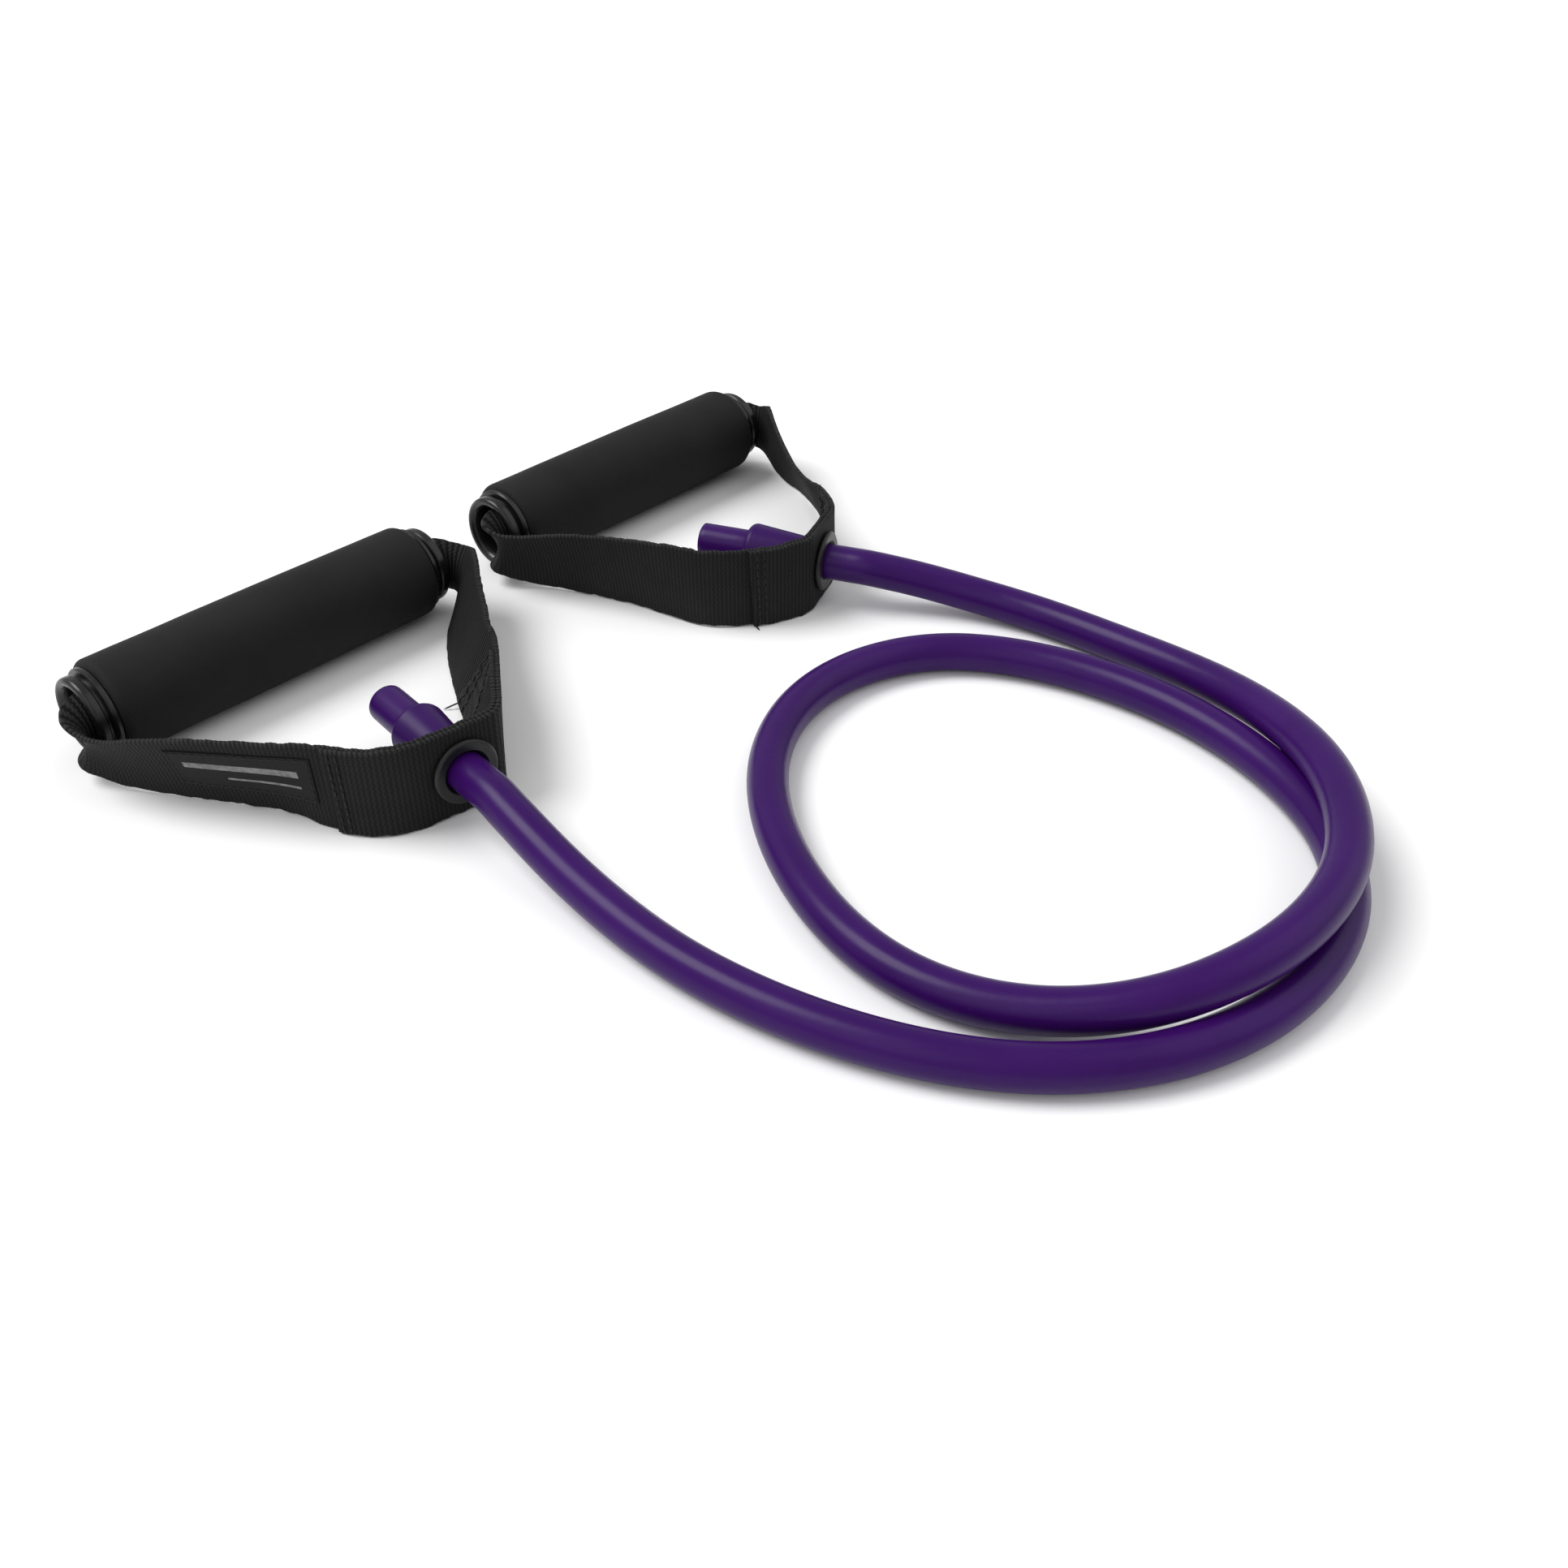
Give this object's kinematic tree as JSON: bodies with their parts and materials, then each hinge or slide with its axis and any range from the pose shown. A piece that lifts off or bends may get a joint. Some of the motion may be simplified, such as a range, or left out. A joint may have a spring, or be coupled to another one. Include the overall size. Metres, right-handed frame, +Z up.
{
  "type": "resistance band",
  "caption": "Rubber tube exercise band with a foam-gripped webbing handle at each end, each held by a tapered stopper behind an eyelet.",
  "frame": {"origin": "on the surface the band lies on, under the middle of the two handles, which lie end to end", "axes": "+Z up, +X along both grips from handle a to handle b, -Y towards the free tube"},
  "size_m": [0.311, 0.3532, 0.033],
  "materials": {
    "purple_rubber": "satin purple latex rubber",
    "purple_moulding": "satin purple moulded rubber",
    "black_webbing": "black woven polypropylene webbing with fine cross ribs",
    "black_thread": "black bonded sewing thread",
    "label_cloth": "black woven label, plain",
    "black_foam": "matt black closed-cell foam",
    "black_plastic": "satin to glossy black moulded plastic"
  },
  "bodies": {
    "band": {"tube": "purple_rubber", "tube_end_a": "purple_rubber", "tube_end_b": "purple_rubber", "stopper_sleeve_a": "purple_moulding", "stopper_plug_a": "black_plastic", "stopper_sleeve_b": "purple_moulding", "stopper_plug_b": "black_plastic"},
    "eyelet_set_a": {"eyelet_a": "black_plastic", "eyelet_washer_a": "black_plastic"},
    "strap_set_a": {"strap_a": "black_webbing", "strap_reinforcement_a": "black_webbing", "stitching_a": "black_thread", "label_patch_a": "label_cloth"},
    "grip_a": {"foam_grip_a": "black_foam", "core_tube_a": "black_plastic", "outer_end_cap_a": "black_plastic", "inner_end_cap_a": "black_plastic"},
    "eyelet_set_b": {"eyelet_b": "black_plastic", "eyelet_washer_b": "black_plastic"},
    "strap_set_b": {"strap_b": "black_webbing", "strap_reinforcement_b": "black_webbing", "stitching_b": "black_thread"},
    "grip_b": {"foam_grip_b": "black_foam", "core_tube_b": "black_plastic", "outer_end_cap_b": "black_plastic", "inner_end_cap_b": "black_plastic"}
  },
  "joints": [
    {"name": "eyelet_a_slide", "type": "slide", "parent": "band", "child": "eyelet_set_a", "axis": [-0.1564, -0.9877, 0], "range_m": [0, 0.012]},
    {"name": "handle_a_swivel", "type": "hinge", "parent": "eyelet_set_a", "child": "strap_set_a", "pos_m": [-0.08625, -0.0585, 0.015], "axis": [-0.1564, -0.9877, 0], "range_deg": [-90, 90]},
    {"name": "grip_a_spin", "type": "hinge", "parent": "strap_set_a", "child": "grip_a", "pos_m": [-0.08125, 0.046, 0.0165], "axis": [1, 0, 0], "continuous": true},
    {"name": "eyelet_b_slide", "type": "slide", "parent": "band", "child": "eyelet_set_b", "axis": [0.3584, -0.9336, 0], "range_m": [0, 0.012]},
    {"name": "handle_b_swivel", "type": "hinge", "parent": "eyelet_set_b", "child": "strap_set_b", "pos_m": [0.08025, -0.055, 0.015], "axis": [0.3584, -0.9336, 0], "range_deg": [-90, 90]},
    {"name": "grip_b_spin", "type": "hinge", "parent": "strap_set_b", "child": "grip_b", "pos_m": [0.08125, 0.046, 0.0165], "axis": [1, 0, 0], "continuous": true}
  ]
}
